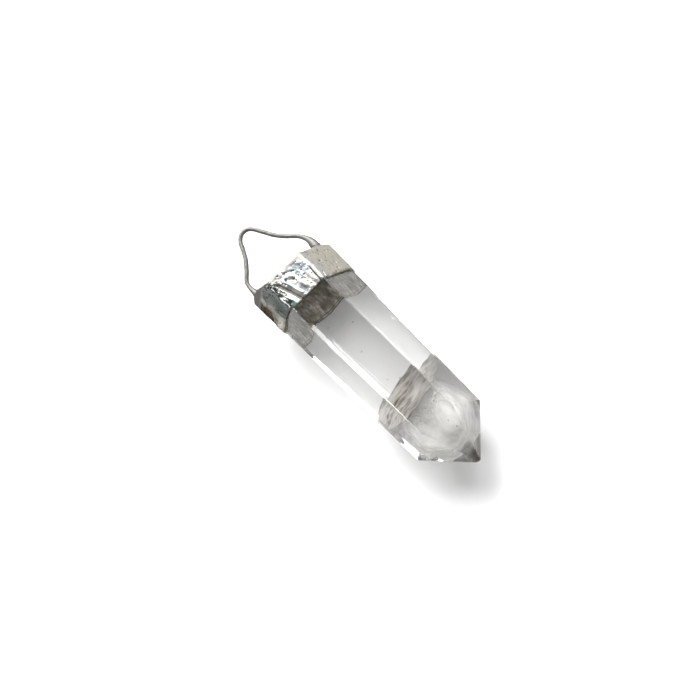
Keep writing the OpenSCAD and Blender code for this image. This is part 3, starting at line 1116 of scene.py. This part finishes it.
def foil():
    """The lining: crumpled foil, streaked and browned, darkened by painted shade but on its lower side."""
    material, nodes, link, shader = new_material("foil_lining")
    shader.inputs["Metallic"].default_value = 0.1
    shader.inputs["Roughness"].default_value = 0.5
    streak = noise_node(nodes, link, object_place(nodes, link, (0.4, 1, 1)), 900, 4, 0.65)
    crumple = noise_node(nodes, link, object_place(nodes, link), 330, 3, 0.6)
    both = math_node(nodes, link, "ADD", streak, math_node(nodes, link, "MULTIPLY", crumple, 0.7))
    colour = ramp_node(nodes, link, both, (
        (0.62, (0.18, 0.156, 0.118)),
        (0.78, (0.34, 0.30, 0.235)),
        (0.90, (0.56, 0.515, 0.42)),
        (1.0, (0.98, 0.93, 0.83)),
    ))
    # The lining's painted shade, kept off its lower side
    link(darkened(nodes, link, colour, stored(nodes, "unshaded_share")["Fac"]), shader.inputs["Base Color"])
    link(bump_node(nodes, link, both, 0.10 * MM, 0.5), shader.inputs["Normal"])
    return material


# The studio

def floor():
    half = 3.0
    corners = [(-half, -half, 0), (half, -half, 0), (half, half, 0), (-half, half, 0)]
    obj = new_object("paper", corners, [(0, 1, 2, 3)])
    material, _, _, shader = new_material("white_paper")
    shader.inputs["Base Color"].default_value = (0.88, 0.88, 0.88, 1)
    shader.inputs["Roughness"].default_value = 0.9
    shader.inputs["Specular IOR Level"].default_value = 0.1
    obj.data.materials.append(material)


def sky():
    """Soft light from all round, a little brighter half way up."""
    world = bpy.data.worlds.new("studio")
    bpy.context.scene.world = world
    world.use_nodes = True
    nodes = world.node_tree.nodes
    link = world.node_tree.links.new
    place = nodes.new("ShaderNodeTexCoord")
    split = nodes.new("ShaderNodeSeparateXYZ")
    link(place.outputs["Generated"], split.inputs["Vector"])
    height = ramp_node(nodes, link, split.outputs["Z"], (
        (0.0, (0.22,)), (0.15, (0.30,)), (0.4, (0.42,)), (0.7, (0.38,)), (1.0, (0.30,)),
    ))
    link(height, nodes["Background"].inputs["Color"])
    nodes["Background"].inputs["Strength"].default_value = 0.95


def softbox(name, place, width, height, power):
    data = bpy.data.lights.new(name, "AREA")
    data.shape = "RECTANGLE"
    data.size = width
    data.size_y = height
    data.energy = power
    obj = link_object(name, data)
    obj.location = place
    obj.rotation_euler = (-Vector(place)).to_track_quat("-Z", "Y").to_euler()


def camera():
    data = bpy.data.cameras.new("camera")
    data.lens = FOCAL_PX / IMAGE_PX * SENSOR_W
    data.sensor_width = SENSOR_W
    data.clip_start = 0.01
    data.clip_end = 20
    obj = link_object("camera", data)
    ahead = Vector((-math.cos(CAMERA_ELEVATION), 0, -math.sin(CAMERA_ELEVATION)))
    up = Vector((-math.sin(CAMERA_ELEVATION), 0, math.cos(CAMERA_ELEVATION)))
    right = Vector((0, 1, 0))
    picture_up = up * math.cos(CAMERA_ROLL) + right * math.sin(CAMERA_ROLL)
    picture_right = right * math.cos(CAMERA_ROLL) - up * math.sin(CAMERA_ROLL)
    turned = Matrix((picture_right, picture_up, -ahead)).transposed()
    obj.matrix_world = Matrix.Translation(Vector(CAMERA_PLACE) * MM) @ turned.to_4x4()
    bpy.context.scene.camera = obj


def inclusions():
    """The streaked veil, the milky veils, the flakes and the specks."""
    milks = {row[0]: milk(*row) for row in MILK_FINISHES}
    bright = flake_finish()
    dark = speck_finish()
    scattered = crumb_tree("flakes_over_guide", True)
    placed = crumb_tree("specks_on_points", False)
    pieces = [streaked_veil(streaks())]
    for *shape, finish in MILK_VEILS:
        pieces.append(veil(*shape, milks[finish]))
    for name, middle, along, across, density, smallest, largest, seed in FLAKES:
        pieces.append(crumbs(
            name, scattered, oval_guide(middle, along, across), Density=density,
            Smallest=smallest, Largest=largest, Thickness=0.08, Seed=seed, Finish=bright,
        ))
    pieces.append(crumbs(
        "specks", placed, (SPECKS, []),
        Smallest=0.12, Largest=0.22, Thickness=0.8, Seed=5, Finish=dark,
    ))
    return pieces


def main():
    quartz = clear_quartz()
    metal = solder()
    lining = foil()
    camera()
    floor()
    sky()
    for row in SOFTBOXES:
        softbox(*row)

    stone = crystal(quartz)
    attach(stone, "root")
    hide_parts("crystal")

    cap = cap_with_bail(metal, lining)
    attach(cap, "root")
    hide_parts("cap_with_bail")

    for piece in inclusions():
        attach(piece, "root")

    scene = bpy.context.scene
    scene.view_settings.view_transform = "Standard"
    scene.view_settings.look = "None"
    scene.cycles.use_denoising = True
    scene.cycles.max_bounces = 24
    scene.cycles.transmission_bounces = 20
    scene.cycles.glossy_bounces = 12
    scene.cycles.diffuse_bounces = 6
    scene.cycles.transparent_max_bounces = 24


main()
